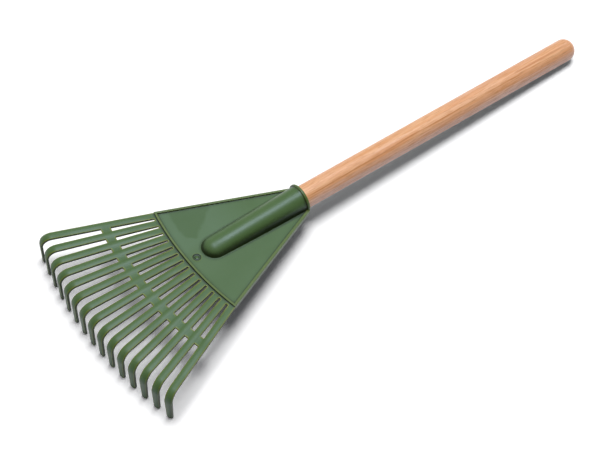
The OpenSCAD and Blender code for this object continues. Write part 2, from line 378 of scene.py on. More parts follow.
BORE_DEPTH = 84 * MM
FOOT_FILLET = 1.2 * MM
BODY_STATIONS = 26
BODY_STEPS = 12
FILLET_STEPS = 5
BORE_STEPS = 4
DOME_STEPS = 36
SIDE_STEPS = 14
ARC_STEPS = 48
ROUND_STEPS = 96
GATE_INSET = 10.6 * MM
GRID_STEP = 6 * MM
GRID_MARGIN = 2 * MM
GRID_REACH = 30

# Radius and height of the gate's turned profile, in millimetres, from the dimple's rim to the nub
GATE_PROFILE = [
    (4.3, 0), (4.08, -0.06), (3.98, -0.2), (3.86, -0.8), (3.7, -0.9), (2.1, -0.9), (1.95, -0.8),
    (1.88, -0.36), (1.7, -0.22), (1.2, -0.16), (0.6, -0.14),
]

end_at = HANDLE_LEN - HANDLE_END_FILLET
end_r = HANDLE_R - HANDLE_END_FILLET
end_drop = FAN_TOP - HANDLE_FALL - HANDLE_END_FILLET
handle_lean = math.asin(end_drop / math.hypot(end_at, end_r)) - math.atan2(end_r, end_at)
handle_along = Vector((math.cos(handle_lean), 0, -math.sin(handle_lean)))
handle_up = Vector((math.sin(handle_lean), 0, math.cos(handle_lean)))
sideways = Vector((0, 1, 0))
handle_mouth = Vector((-MOUTH_REACH, 0, -HANDLE_FALL))
socket_end = handle_mouth - handle_along * COLLAR_W / 2
taper_share = (HANDLE_R - TAPER_END_R) / TAPER_LEN
lower_r = HANDLE_R + BORE_GAP + SOCKET_WALL
top_height = WEB_RISE - WEB_SLOPE * RIB_START
under_height = top_height - WEB_T * math.hypot(1, WEB_SLOPE)
edge_angle = PITCH * (TINES - 1) / 2
corner_half_chord = math.sqrt(
    (SLOT_START + ARC_SETBACK) ** 2 - (ARC_SETBACK * math.sin(edge_angle) - ROOT_HALF_W) ** 2
)
corner_reach = corner_half_chord - ARC_SETBACK * math.cos(edge_angle)
side_corner = Vector((
    ROOT_HALF_W * math.sin(edge_angle) - corner_reach * math.cos(edge_angle),
    ROOT_HALF_W * math.cos(edge_angle) + corner_reach * math.sin(edge_angle),
))
side_mouth = Vector((-MOUTH_REACH - COLLAR_W / 2, WEB_MOUTH_HALF_W))
side_along = (side_corner - side_mouth).normalized()
side_inward = Vector((-side_along.y, side_along.x))
arc_centre = Vector((ARC_SETBACK, 0))
gate_centre = Vector((GATE_INSET - RIB_START, 0))
gate_r = GATE_PROFILE[0][0] * MM


def on_side(inset, x):
    """Point of the web's +Y side in plan, moved inwards, at a place along the handle."""
    start = side_mouth + side_inward * inset
    return start + side_along * (x - start.x) / side_along.x


def on_corner(inset, arc):
    """Point in plan where the web's +Y side, moved inwards, meets an arc."""
    start = side_mouth + side_inward * inset
    away = start - arc_centre
    ahead = -away.dot(side_along)
    return start + side_along * (ahead + math.sqrt(ahead ** 2 - away.length_squared + arc ** 2))


def on_arc(angle, arc):
    """Point in plan on an arc, at an angle from the centre line."""
    return arc_centre + Vector((-math.cos(angle), math.sin(angle))) * arc


def on_web(point, height):
    """Lifts a point in plan to a plane that follows the web's slope."""
    return Vector((point.x, point.y, height - WEB_SLOPE * point.x))


def web_outline(height):
    """The web's edge in plan, in the middle of its rims and rib, from the -Y mouth to the +Y mouth."""
    arc = RIB_START + ARC_SETBACK - RIB_W / 2
    corner = on_corner(WEB_INSET, arc)
    end_lift = socket_end.x * math.cos(handle_lean) + (height - socket_end.z) * math.sin(handle_lean)
    mouth = on_side(WEB_INSET, end_lift / (math.cos(handle_lean) + WEB_SLOPE * math.sin(handle_lean)))
    side = [mouth.lerp(corner, k / SIDE_STEPS) for k in range(SIDE_STEPS + 1)]
    corner_angle = math.atan2(corner.y, ARC_SETBACK - corner.x)
    root = [on_arc(corner_angle * (2 * k / ARC_STEPS - 1), arc) for k in range(1, ARC_STEPS)]
    return [Vector((point.x, -point.y)) for point in side] + root + side[::-1]


def body_column(centre, outward, up, radius, height):
    """Points from the crest of a round body down its side, then round a fillet to the web's plane."""
    tilt = up.z + WEB_SLOPE * up.x
    start = (height - WEB_SLOPE * centre.x - centre.z) / tilt
    rise = -(WEB_SLOPE * outward.x + outward.z) / tilt
    stretch = math.hypot(1, rise)
    low = start + FOOT_FILLET * stretch
    aside = (math.sqrt(((radius + FOOT_FILLET) * stretch) ** 2 - low ** 2) - rise * low) / stretch ** 2
    fillet_centre = Vector((aside, low + rise * aside))
    to_body = -fillet_centre.normalized()
    to_plane = Vector((rise, -1)) / stretch
    body_angle = math.atan2(fillet_centre.x, fillet_centre.y)
    turns = [body_angle * k / BODY_STEPS for k in range(BODY_STEPS + 1)]
    points = [Vector((math.sin(turn), math.cos(turn))) * radius for turn in turns]
    for k in range(1, FILLET_STEPS + 1):
        points.append(fillet_centre + to_body.slerp(to_plane, k / FILLET_STEPS) * FOOT_FILLET)
    return [centre + outward * point.x + up * point.y for point in points]


def body_columns(mouth, along, up, length, mouth_r, end_r, height):
    """Columns round a tapered body with a domed end, from its mouth at +Y to its mouth at -Y."""
    places = [(length * k / BODY_STATIONS, sideways) for k in range(BODY_STATIONS + 1)]
    for k in range(1, DOME_STEPS):
        turn = math.pi * k / DOME_STEPS
        places.append((length, sideways * math.cos(turn) + along * math.sin(turn)))
    places += [(length * k / BODY_STATIONS, -sideways) for k in range(BODY_STATIONS, -1, -1)]
    columns = []
    for at, outward in places:
        radius = mouth_r + (end_r - mouth_r) * at / length
        columns.append(body_column(mouth + along * at, outward, up, radius, height))
    for column in (columns[0], columns[-1]):
        for k, point in enumerate(column):
            column[k] = point + along * (socket_end - point).dot(handle_along) / along.dot(handle_along)
        column[-1] = on_web(column[-1], height)
    return columns


def ring(centre, across, up, radius):
    """Points round a circle, with the first one again at the end."""
    turns = [math.tau * k / ROUND_STEPS for k in range(ROUND_STEPS)] + [0]
    return [centre + across * math.cos(turn) * radius + up * math.sin(turn) * radius for turn in turns]


def flat_ring(centre, radius):
    """Points round a circle that is drawn flat, with the first one again at the end."""
    return ring(centre, Vector((1, 0)), Vector((0, 1)), radius)


def add_rows(mesh, rows):
    """Adds the quads between neighbouring rows of points."""
    made = [[mesh.verts.new(point) for point in row] for row in rows]
    for near, far in zip(made, made[1:]):
        for k in range(len(near) - 1):
            mesh.faces.new((near[k], near[k + 1], far[k + 1], far[k]))


def add_region(mesh, loop, hole, inner, lift):
    """Fills the region between a loop and a hole, drawn flat, and lifts it with the given rule."""
    edges = [(k, (k + 1) % len(loop)) for k in range(len(loop))]
    edges += [(len(loop) + k, len(loop) + (k + 1) % len(hole)) for k in range(len(hole))]
    flat, _, faces, sources = delaunay_2d_cdt(loop + hole + inner, edges, [], 1, WELD / 100)[:4]
    of_hole = set(range(len(loop), len(loop) + len(hole)))
    made = {}
    for face in faces:
        if all(of_hole & set(sources[k]) for k in face):
            continue
        for k in face:
            made[k] = made.get(k) or mesh.verts.new(lift(flat[k]))
        mesh.faces.new([made[k] for k in face])


def closed_shell(mesh, name):
    """Welds a mesh, turns its faces outwards and puts it in its place as an object."""
    bmesh.ops.remove_doubles(mesh, verts=mesh.verts, dist=WELD / 10)
    bmesh.ops.recalc_face_normals(mesh, faces=mesh.faces)
    bmesh.ops.translate(mesh, verts=mesh.verts, vec=fan_centre)
    data = bpy.data.meshes.new(name)
    mesh.to_mesh(data)
    mesh.free()
    piece = bpy.data.objects.new(name, data)
    bpy.context.scene.collection.objects.link(piece)
    return piece


web_mesh = bmesh.new()
upper_mouth = handle_mouth + Vector((-COLLAR_W / 2, 0, HANDLE_FALL - SOCKET_FALL))
upper = body_columns(
    upper_mouth, Vector((-1, 0, 0)), Vector((0, 0, 1)), SOCKET_LEN - COLLAR_W / 2,
    SOCKET_MOUTH_R, SOCKET_END_R, top_height,
)
lower = body_columns(
    socket_end, -handle_along, -handle_up, BORE_DEPTH - COLLAR_W / 2,
    lower_r, lower_r - taper_share * BORE_DEPTH, under_height,
)
gate_loop = flat_ring(gate_centre, gate_r)[:-1]
edges_in_space = []
for columns, height, hole in ((upper, top_height, gate_loop), (lower, under_height, [])):
    add_rows(web_mesh, columns)
    foot = [column[-1].to_2d() for column in columns]
    foot_half_w = max(point.y for point in foot)
    dome_x = min(point.x for point in foot)
    inner = []
    for line in range(GRID_REACH):
        for row in range(-GRID_REACH, GRID_REACH + 1):
            point = Vector((side_mouth.x - line * GRID_STEP, row * GRID_STEP))
            gaps = (
                (Vector((point.x, abs(point.y))) - side_mouth).dot(side_inward) - WEB_INSET,
                RIB_START + ARC_SETBACK - RIB_W / 2 - (point - arc_centre).length,
                max(abs(point.y) - foot_half_w, dome_x - point.x),
                (point - gate_centre).length - gate_r,
                side_mouth.x - point.x,
            )
            if min(gaps) > GRID_MARGIN:
                inner.append(point)
    outline = web_outline(height)
    add_region(web_mesh, foot + outline, hole, inner, lambda point: on_web(point, height))
    edges_in_space.append([on_web(point, height) for point in outline])
add_rows(web_mesh, edges_in_space)
gate_rows = []
for radius, depth in GATE_PROFILE:
    circle = flat_ring(gate_centre, radius * MM)
    gate_rows.append([on_web(point, top_height + depth * MM) for point in circle])
add_rows(web_mesh, gate_rows)
web_mesh.faces.new([web_mesh.verts.new(point) for point in gate_rows[-1][:-1]])

# The end at the mouth is one flat face round the bore for the handle's taper
top_edge, under_edge = edges_in_space
end_loop = upper[0] + [top_edge[-1], under_edge[-1]] + lower[0][::-1]
end_loop += lower[-1][1:] + [under_edge[0], top_edge[0]] + upper[-1][:0:-1]
end_flat = [Vector((point.y, (point - socket_end).dot(handle_up))) for point in end_loop]
bore_depths = [
    COLLAR_W / 2 + (BORE_DEPTH - COLLAR_W / 2) * k / BORE_STEPS for k in range(BORE_STEPS + 1)
]
bore_radii = [HANDLE_R + BORE_GAP - taper_share * depth for depth in bore_depths]
add_region(
    web_mesh, end_flat, flat_ring(Vector((0, 0)), bore_radii[0])[:-1], [],
    lambda point: socket_end + sideways * point.x + handle_up * point.y,
)
bore_rows = [
    ring(handle_mouth - handle_along * depth, sideways, handle_up, radius)
    for depth, radius in zip(bore_depths, bore_radii)
]
add_rows(web_mesh, bore_rows)
web_mesh.faces.new([web_mesh.verts.new(point) for point in bore_rows[-1][:-1]])
head = closed_shell(web_mesh, "head_moulding")

# Rims and root rib
# One rounded bead runs along the web's two sides and its root and stands a little proud of it, and
# at the sides it reaches below the web too. It is swept along the edge with mitred corners.
RIM_SKIRT = 1.9 * MM
RIB_SKIRT = 0.25 * MM
CORNER_RUN_OUT_SHARE = 0.985

# Points of the bead's profile: share of its width, then extra inset and height in millimetres.
# Under the web the third number is a share of the skirt.
BEAD_TOP = [
    (0, 0, 0.8), (0, 0.07, 1.05), (0, 0.25, 1.23), (0, 0.5, 1.3),
    (1, -0.5, 1.3), (1, -0.25, 1.23), (1, -0.07, 1.05), (1, 0, 0.8),
    (1, 0, 0.45), (1, 0.1, 0.2), (1, 0.28, 0.05), (1, 0.55, -0.05), (1, 0.55, -2.3),
]
BEAD_UNDER = [
    (1, 0.3, 0.12), (1, 0.1, 0.3), (1, 0, 0.5), (1, 0, 0.72),
    (1, -0.28, 1), (0, 0.28, 1), (0, 0, 0.72),
]


def bead_ring(side_share, arc_share):
    """The bead's profile at a share of the +Y side, or of the arc from its corner to the centre line."""
    skirt = RIM_SKIRT if side_share < 1 else RIB_SKIRT
    profile = [(width_share, extra * MM, height * MM) for width_share, extra, height in BEAD_TOP]
    profile += [
        (width_share, extra * MM, -WEB_T - skirt_share * skirt)
        for width_share, extra, skirt_share in BEAD_UNDER
    ]
    points = []
    for width_share, extra, height in profile:
        arc = RIB_START + ARC_SETBACK - width_share * RIB_W - extra
        side_inset = width_share * RIM_W + extra
        corner = on_corner(side_inset, arc)
        if arc_share == 0:
            point = on_side(side_inset, side_mouth.x).lerp(corner, side_share)
        else:
            point = on_arc(math.atan2(corner.y, ARC_SETBACK - corner.x) * (1 - arc_share), arc)
        points.append(on_web(point, top_height + height))
    return points


bead_rings = [bead_ring(k / SIDE_STEPS, 0) for k in range(SIDE_STEPS)]
bead_rings += [bead_ring(CORNER_RUN_OUT_SHARE, 0), bead_ring(1, 0)]
bead_rings += [bead_ring(1, 2 * k / ARC_STEPS) for k in range(1, ARC_STEPS // 2 + 1)]
bead_rings += [
    [Vector((point.x, -point.y, point.z)) for point in points] for points in bead_rings[-2::-1]
]
bead_mesh = bmesh.new()
add_rows(bead_mesh, [points + points[:1] for points in bead_rings])
for end_ring in (bead_rings[0], bead_rings[-1]):
    bead_mesh.faces.new([bead_mesh.verts.new(point) for point in end_ring])
bead = closed_shell(bead_mesh, "bead")

# Collar
# A plain rounded band round the socket's mouth, which keeps it from splitting. It is turned about
# the handle's centre line, with a small flare where it meets the socket.

# Place along the handle from the mouth, and radius, in millimetres
COLLAR_PROFILE = [
    (-3.6, 13), (-3.6, 14.35), (-3.3, 14.55), (-3.1, 14.8), (-3, 15.05), (-2.85, 15.4), (-2.55, 15.75),
    (-2.1, 15.95), (-1.5, 16), (-0.9, 15.95), (-0.45, 15.75), (-0.15, 15.4), (0, 14.95), (0, 12.45),
    (-0.12, 12.25), (-0.3, 12.15), (-1.8, 12.15), (-1.8, 13),
]


def add_turned(mesh, profile, start, axis, across, steps):
    """Turns a profile of distances along an axis and from it into a surface of revolution."""
    up = axis.cross(across)
    rows = []
    for k in range(steps + 1):
        outward = across * math.cos(math.tau * k / steps) + up * math.sin(math.tau * k / steps)
        rows.append([start + axis * at + outward * radius for at, radius in profile])
    add_rows(mesh, rows)


collar_mesh = bmesh.new()
collar_profile = [(at * MM, radius * MM) for at, radius in COLLAR_PROFILE + COLLAR_PROFILE[:1]]
add_turned(collar_mesh, collar_profile, handle_mouth, handle_along, sideways, ROUND_STEPS)
collar = closed_shell(collar_mesh, "collar")

# Pad for the fixing screw
# A low round boss under the socket, of the same green plastic. It gives the screw's head a flat seat,
# and the screw's hole goes through it.
SCREW_INSET = 24 * MM
SCREW_HOLE_R = 1.95 * MM
PAD_R = 5.1 * MM
PAD_H = 1.2 * MM
PAD_EDGE = 0.35 * MM
PAD_FLARE = 0.6 * MM
screw_place = handle_mouth - handle_along * SCREW_INSET
pad_seat = lower_r - taper_share * SCREW_INSET + PAD_H
pad_base = pad_seat - PAD_H - SOCKET_WALL / 2
pad_profile = [
    (pad_base, 0), (pad_base, PAD_R + PAD_FLARE), (pad_seat - PAD_H - PAD_FLARE, PAD_R + PAD_FLARE),
    (pad_seat - PAD_H, PAD_R + PAD_FLARE / 4), (pad_seat - PAD_H + PAD_FLARE, PAD_R),
    (pad_seat - PAD_EDGE, PAD_R), (pad_seat - PAD_EDGE / 4, PAD_R - PAD_EDGE / 4),
    (pad_seat, PAD_R - PAD_EDGE), (pad_seat, 0),
]
pad_mesh = bmesh.new()
add_turned(pad_mesh, pad_profile, screw_place, -handle_up, sideways, ROUND_STEPS // 2)
pad = closed_shell(pad_mesh, "pad")
hole_mesh = bmesh.new()
hole_profile = [(0, 0), (0, SCREW_HOLE_R), (pad_seat + PAD_H, SCREW_HOLE_R), (pad_seat + PAD_H, 0)]
add_turned(hole_mesh, hole_profile, screw_place, -handle_up, sideways, ROUND_STEPS // 2)
hole = closed_shell(hole_mesh, "screw_hole")

# Whole moulding
# In the mould the head is one shot of plastic, so the shells of the web, the bead, the collar, the pad
# and the tines are united here, and the screw's hole is cut through them.
HEAD_SHARP_TURN = math.radians(50)


def combine(piece, *steps):
    """Unites shells with a piece, or cuts them out of it, and leaves the result as its plain mesh."""
    for part, operation in steps:
        joining = piece.modifiers.new(part.name, "BOOLEAN")
        joining.operation = operation
        joining.solver = "MANIFOLD"
        joining.object = part
    make_plain(piece)
    for part, _ in steps:
        bpy.data.objects.remove(part)


combine(
    head, (bead, "UNION"), (collar, "UNION"), (pad, "UNION"), (fan, "UNION"), (hole, "DIFFERENCE")
)
head.data.materials.clear()
head.data.materials.append(head_plastic)
head.data.shade_smooth()
head.data.set_sharp_from_angle(angle=HEAD_SHARP_TURN)
head_shading = head.modifiers.new("even_shading", "WEIGHTED_NORMAL")
head_shading.keep_sharp = True
make_plain(head)
tine_nodes = [f"tine_{number:02d}" for number in range(1, TINES + 1)]
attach(head, "root")
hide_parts("head_plate", "socket", "cross_band", *tine_nodes)

# Green plastic
# Glossy dark green polypropylene, one tone all through. Its skin is a little uneven, as moulded sheet
# is, with faint rubbing on the web. Its colour has a painted sheen beside the socket and a painted
# darker patch on the web where the sheen does not fall. Inner corners, steep sides and the tines'
# side faces and drops get painted shade, and thin edges get painted light in a yellower green.


def group_tree(name, inputs, outputs):
    """Shader node group with the given inputs and outputs. Returns it with both of its end nodes."""
    tree = bpy.data.node_groups.new(name, "ShaderNodeTree")
    for socket_name, kind, start in inputs:
        socket = tree.interface.new_socket(socket_name, in_out="INPUT", socket_type="NodeSocket" + kind)
        if start is not None:
            socket.default_value = start
    for socket_name, kind in outputs:
        tree.interface.new_socket(socket_name, in_out="OUTPUT", socket_type="NodeSocket" + kind)
    return tree, add_node(tree, "NodeGroupInput").outputs, add_node(tree, "NodeGroupOutput").inputs


def axes_of(tree, vector):
    """The three coordinates of a vector in a shader tree."""
    return [Field(tree, axis) for axis in add_node(tree, "ShaderNodeSeparateXYZ", {0: vector}).outputs]


def length_of(first, second):
    """Length of a line that runs by one field across and by the other up."""
    return (first.squared() + second.squared()).math("SQRT")


def noise(tree, vector, scale, detail, along=1):
    """Noise with so many waves to the metre, drawn out along X where the last number is small."""
    drawn = add_node(tree, "ShaderNodeMapping", {"Vector": vector, "Scale": (along, 1, 1)}).outputs[0]
    made = add_node(tree, "ShaderNodeTexNoise", {"Vector": drawn, "Scale": scale, "Detail": detail})
    return Field(tree, made.outputs[0])


def limited(field, low, high):
    """A field brought to the range from 0 to 1, with soft ends."""
    node = add_node(
        field.tree, "ShaderNodeMapRange", {"Value": field, "From Min": low, "From Max": high},
        interpolation_type="SMOOTHSTEP",
    )
    return Field(field.tree, node.outputs[0])


def mixed(tree, share, first, second):
    """Colour between two colours."""
    node = add_node(tree, "ShaderNodeMix", {0: share, 6: first, 7: second}, data_type="RGBA")
    return node.outputs[2]


def layered(tree, colour, *layers):
    """A colour with other tones laid over it, each by its own mask."""
    for mask, tone in layers:
        colour = mixed(tree, mask, colour, tone)
    return colour


def plain_in_bounce(tree, colour, tone):
    """A colour, with one plain tone in its place for the light that it throws on its surroundings."""
    bounce = add_node(tree, "ShaderNodeLightPath").outputs["Is Diffuse Ray"]
    return mixed(tree, bounce, colour, tone)


def closed_in(tree, reach, inside):
    """How much is shut off round a point within a distance, outside the piece or inside it."""
    node = add_node(
        tree, "ShaderNodeAmbientOcclusion", {"Distance": reach}, inside=inside, only_local=True, samples=8
    )
    return 1 - Field(tree, node.outputs["AO"])


def bumped(tree, height, depth, below=None):
    """Normal of a surface with a height on it, in metres times the height."""
    node = add_node(tree, "ShaderNodeBump", {"Height": height, "Distance": depth, "Strength": 1.0})
    if below is not None:
        tree.links.new(below, node.inputs["Normal"])
    return node.outputs[0]


def surface(material, **settings):
    """The material's own shader, with the numbers and colours that are the same all over it."""
    material.use_nodes = True
    shader = material.node_tree.nodes["Principled BSDF"]
    for name, value in settings.items():
        shader.inputs[name.replace("_", " ")].default_value = value
    return shader


def feed(tree, shader, **values):
    """Links what changes over the surface to a shader's inputs."""
    for name, value in values.items():
        socket = value.socket if isinstance(value, Field) else value
        tree.links.new(socket, shader.inputs[name.replace("_", " ")])


# Where rubbing and scratches start in their noise, and where they are full
RUBBED_RANGE = (0.45, 0.7)
SCRATCH_WAVES = (900, 2, 0.03)
SCRATCH_RANGE = (0.002, 0.012)


def use_marks_group():
    """Group for the marks of use: broad rubbed patches and fine short scratches along one axis."""
    tree, given, put_out = group_tree(
        "use_marks",
        [("Vector", "Vector", None), ("Patch size", "Float", 0.02), ("Scratch share", "Float", 0.5)],
        [("Rubbed", "Float"), ("Scratches", "Float")],
    )
    patch_waves = Field(tree, given["Patch size"]).math("POWER", -1)
    rubbed = limited(noise(tree, given["Vector"], patch_waves, 4), *RUBBED_RANGE)
    from_line = (noise(tree, given["Vector"], *SCRATCH_WAVES) - 0.5).math("ABSOLUTE")
    scratches = (1 - limited(from_line, *SCRATCH_RANGE)) * rubbed * Field(tree, given["Scratch share"])
    tree.links.new(rubbed.socket, put_out["Rubbed"])
    tree.links.new(scratches.socket, put_out["Scratches"])
    return tree


def use_marks(tree, vector, patch_size, scratch_share):
    """The marks of use in a material: how rubbed a place is, and its scratches."""
    node = add_node(
        tree, "ShaderNodeGroup",
        {"Vector": vector, "Patch size": patch_size, "Scratch share": scratch_share},
        node_tree=marks_tree,
    )
    return Field(tree, node.outputs["Rubbed"]), Field(tree, node.outputs["Scratches"])


PLASTIC_GREEN = (0.078, 0.146, 0.047, 1)
PLASTIC_PALE = (0.086, 0.156, 0.055, 1)
# Painted colours: a sheen, a darker patch without it, light along thin edges and shade in corners
PLASTIC_PAINTED_SHEEN = (0.1, 0.175, 0.081, 1)
PLASTIC_NO_SHEEN = (0.069, 0.132, 0.041, 1)
PLASTIC_EDGE_LIGHT = (0.17, 0.21, 0.03, 1)
PLASTIC_PAINTED_SHADE = (0.016, 0.024, 0.005, 1)
PLASTIC_IN_BOUNCE = (0.1, 0.115, 0.1, 1)
PLASTIC_GLINT = (0.65, 0.78, 1, 1)
PLASTIC_ROUGH = 0.345
RUBBED_ROUGHER = 0.07
SCRATCH_ROUGHER = 0.15
GRAIN_ROUGHER = 0.06
TINE_ROUGHER = 0.08
NUB_SMOOTHER = 0.17
GRAIN_WAVES = (1400, 2)
GRAIN_DEPTH = 0.02 * MM
SCRATCH_DEPTH_SHARE = 0.4
SINK_WAVES = (22, 1)
SINK_DEPTH = 0.5 * MM
FLOW_WAVES = (30, 3)
FLOW_RANGE = (0.3, 0.7)
SHEEN_ASIDE = (2 * MM, 16 * MM)
SHEEN_ALONG = (60 * MM, 110 * MM)
TINE_ROOTS = 2 * MM

# The painted darker patch, where the web's sheen does not fall, ends short of the root rib and at two
# lines across the web, each given by the two parts of its direction and its distance from the fan's
# centre
PATCH_WAVES = (130, 2)
PATCH_WANDER = 5 * MM
PATCH_SOFT = 2.2 * MM
PATCH_FROM_RIB = 12.5 * MM
PATCH_SIDES = ((-0.593, 0.805, 93.4 * MM), (0.569, 0.823, -59.4 * MM))
PATCH_SHARE = 0.8

# Where the painted light on edges and the painted shade in corners and on sides start and are full,
# and how strong they are
EDGE_REACH = 1.5 * MM
EDGE_RANGE = (0.02, 0.14)
EDGE_SHARE_ON_WEB = 0.5
EDGE_LOSS_ON_SIDE = 0.8
CORNER_REACH = 4 * MM
CORNER_RANGE = (0.03, 0.26)
CORNER_SHARE = 0.9
CORNER_EXTRA_IN_GATE = 0.7
GATE_RIM_RANGE = (-0.2 * MM, 0.4 * MM)
NUB_RANGE = (2.1 * MM, 2.5 * MM)
FLANK_REACH = 22 * MM
FLANK_RANGE = (0, 0.16)
FLANK_SHARE = 0.95
LEVEL_RANGE = (0.6, 0.96)
UPRIGHT_RANGE = (0.03, 0.15)
SIDE_RANGE = (0.45, 0.75)
SIDE_SHARE = 0.6
DROP_RANGE = (-17.5 * MM, -5.5 * MM)
DROP_SHARE = 0.25
DROP_SIDE_SHARE = 0.65

marks_tree = use_marks_group()
plastic = surface(head_plastic, IOR=1.49, Specular_IOR_Level=0.42, Specular_Tint=PLASTIC_GLINT)
tree = head_plastic.node_tree
place = add_node(tree, "ShaderNodeTexCoord").outputs["Object"]
in_fan = add_node(
    tree, "ShaderNodeVectorMath", {0: place, 1: fan_centre}, operation="SUBTRACT"
).outputs[0]
fan_x, fan_y, fan_z = axes_of(tree, in_fan)
past_rib = length_of(fan_x - ARC_SETBACK, fan_y) - (RIB_START + ARC_SETBACK)
past_gate = length_of(fan_x - gate_centre.x, fan_y) - gate_r
on_tines = limited(past_rib, 0, TINE_ROOTS)
off_gate = limited(past_gate, *GATE_RIM_RANGE)
on_nub = limited(past_gate * -1, *NUB_RANGE)
_, face_y, face_z = axes_of(tree, add_node(tree, "ShaderNodeNewGeometry").outputs["Normal"])
upward = face_z.math("ABSOLUTE")
steep = (1 - limited(upward, *LEVEL_RANGE)) * limited(upward, *UPRIGHT_RANGE)
# Masks for the painted shade on the tines' side faces and on their drops near the floor
tine_side = limited(face_y.math("ABSOLUTE"), *SIDE_RANGE) * on_tines
on_drop = (1 - limited(fan_z, *DROP_RANGE)) * on_tines

flow = limited(noise(tree, place, *FLOW_WAVES), *FLOW_RANGE)
# Painted sheen: a paler patch on the web beside the socket, for the lamp's reflection there
painted_sheen = limited(fan_y, *SHEEN_ASIDE) * limited(fan_x * -1, *SHEEN_ALONG) * (1 - on_tines)
# Painted shade: a darker patch on the web, where the lamp's reflection does not fall
wandering = (noise(tree, place, *PATCH_WAVES) - 0.5) * PATCH_WANDER
no_sheen_patch = limited(wandering - past_rib - PATCH_FROM_RIB, -PATCH_SOFT, PATCH_SOFT) * PATCH_SHARE
for x_share, y_share, start in PATCH_SIDES:
    past_side = fan_x * x_share + fan_y * y_share + wandering - start
    no_sheen_patch = no_sheen_patch * limited(past_side, -PATCH_SOFT, PATCH_SOFT)

# Painted shade: darker in inner corners and more so in the gate's dimple, on steep sides near other
# parts, on the tines' side faces, and on their drops near the floor
corner = limited(closed_in(tree, CORNER_REACH, False), *CORNER_RANGE)
corner = corner * ((1 - off_gate) * CORNER_EXTRA_IN_GATE + CORNER_SHARE)
painted_flank_shade = steep * limited(closed_in(tree, FLANK_REACH, False), *FLANK_RANGE)
drop = on_drop * (tine_side * DROP_SIDE_SHARE + DROP_SHARE)
for darkened in (painted_flank_shade * FLANK_SHARE, tine_side * SIDE_SHARE, drop):
    corner = corner.math("MAXIMUM", darkened)
# Painted light: a yellower green along thin edges, as if light shone through them
painted_edge_light = limited(closed_in(tree, EDGE_REACH, True), *EDGE_RANGE) * off_gate
painted_edge_light = painted_edge_light * (on_tines * (1 - EDGE_SHARE_ON_WEB) + EDGE_SHARE_ON_WEB)
painted_edge_light = painted_edge_light * (1 - tine_side * EDGE_LOSS_ON_SIDE)

colour = layered(
    tree, PLASTIC_GREEN, (flow, PLASTIC_PALE), (painted_sheen, PLASTIC_PAINTED_SHEEN), (no_sheen_patch, PLASTIC_NO_SHEEN),
    (corner, PLASTIC_PAINTED_SHADE), (painted_edge_light, PLASTIC_EDGE_LIGHT),
)
rubbed, scratches = use_marks(tree, place, patch_size=30 * MM, scratch_share=0.6)
grain = noise(tree, place, *GRAIN_WAVES)
roughness = rubbed * RUBBED_ROUGHER + scratches * SCRATCH_ROUGHER + grain * GRAIN_ROUGHER
roughness = roughness + on_tines * TINE_ROUGHER - on_nub * NUB_SMOOTHER + PLASTIC_ROUGH
sink = bumped(tree, noise(tree, place, *SINK_WAVES), SINK_DEPTH)
skin = bumped(tree, grain - scratches * SCRATCH_DEPTH_SHARE, GRAIN_DEPTH, sink)
colour = plain_in_bounce(tree, colour, PLASTIC_IN_BOUNCE)
feed(tree, plastic, Base_Color=colour, Roughness=roughness, Normal=skin)

# Handle
# A straight dowel of pale hardwood, sanded round at its free end and turned to a slow taper where
# it is pressed into the socket. A thin clear varnish lets its long grain show.
HANDLE_ROW = 20 * MM
END_STEPS = 14
TAPER_CHAMFER = 0.6 * MM
TURNED_SHARP_TURN = math.radians(35)
handle_profile = [
    (-TAPER_LEN, 0), (-TAPER_LEN, TAPER_END_R - TAPER_CHAMFER),
    (-TAPER_LEN + TAPER_CHAMFER, TAPER_END_R + TAPER_CHAMFER * taper_share),
]
taper_rows = round(TAPER_LEN / HANDLE_ROW)
handle_profile += [
    (-TAPER_LEN * (1 - k / taper_rows), TAPER_END_R + (HANDLE_R - TAPER_END_R) * k / taper_rows)
    for k in range(1, taper_rows + 1)
]
shaft_rows = round(end_at / HANDLE_ROW)
handle_profile += [(end_at * k / shaft_rows, HANDLE_R) for k in range(1, shaft_rows + 1)]
for k in range(1, END_STEPS + 1):
    turn = math.pi / 2 * k / END_STEPS
    handle_profile.append((
        end_at + HANDLE_END_FILLET * math.sin(turn), end_r + HANDLE_END_FILLET * math.cos(turn),
    ))
handle_profile.append((HANDLE_LEN, 0))
handle_mesh = bmesh.new()
add_turned(handle_mesh, handle_profile, handle_mouth, handle_along, sideways, ROUND_STEPS)
handle = closed_shell(handle_mesh, "wooden_handle")
handle.data.shade_smooth()
handle.data.set_sharp_from_angle(angle=TURNED_SHARP_TURN)

WOOD_LIGHT = (0.88, 0.49, 0.262, 1)
WOOD_MIDDLE = (0.78, 0.33, 0.115, 1)
WOOD_DARK = (0.58, 0.22, 0.065, 1)
WOOD_PINK = (0.8, 0.43, 0.275, 1)
# Painted light: the paler tone of the handle's lower side, where the floor lights it
WOOD_UNDERLIGHT = (1.0, 0.65, 0.5, 1)
WOOD_PORE = (0.42, 0.16, 0.05, 1)
WOOD_IN_BOUNCE = (0.46, 0.48, 0.44, 1)
WOOD_ROUGH = 0.42
FIBRE_ROUGHER = 0.12
WORN_ROUGHER = 0.08

# Yearly rings about a pith that lies outside the dowel, with their late wood as darker lines
PITH_ASIDE = 21 * MM
PITH_BELOW = 52 * MM
RING_W = 2.3 * MM
RING_SLANT = 4.0
WANDER_WAVES = (60, 3, 0.1)
RING_WANDER = 1.1
DRIFT_WAVES = (14, 2, 0.35)
RING_DRIFT = 2.4
LATE_WOOD_STARTS = (0.35, 0.88)
LATE_WOOD_STOPS = (0.93, 1.0)
LATE_WOOD_SHARE = 0.3
RING_FADE_WAVES = (45, 2, 0.12)
RING_FADE_RANGE = (0.32, 0.68)
RING_FADE = 0.8

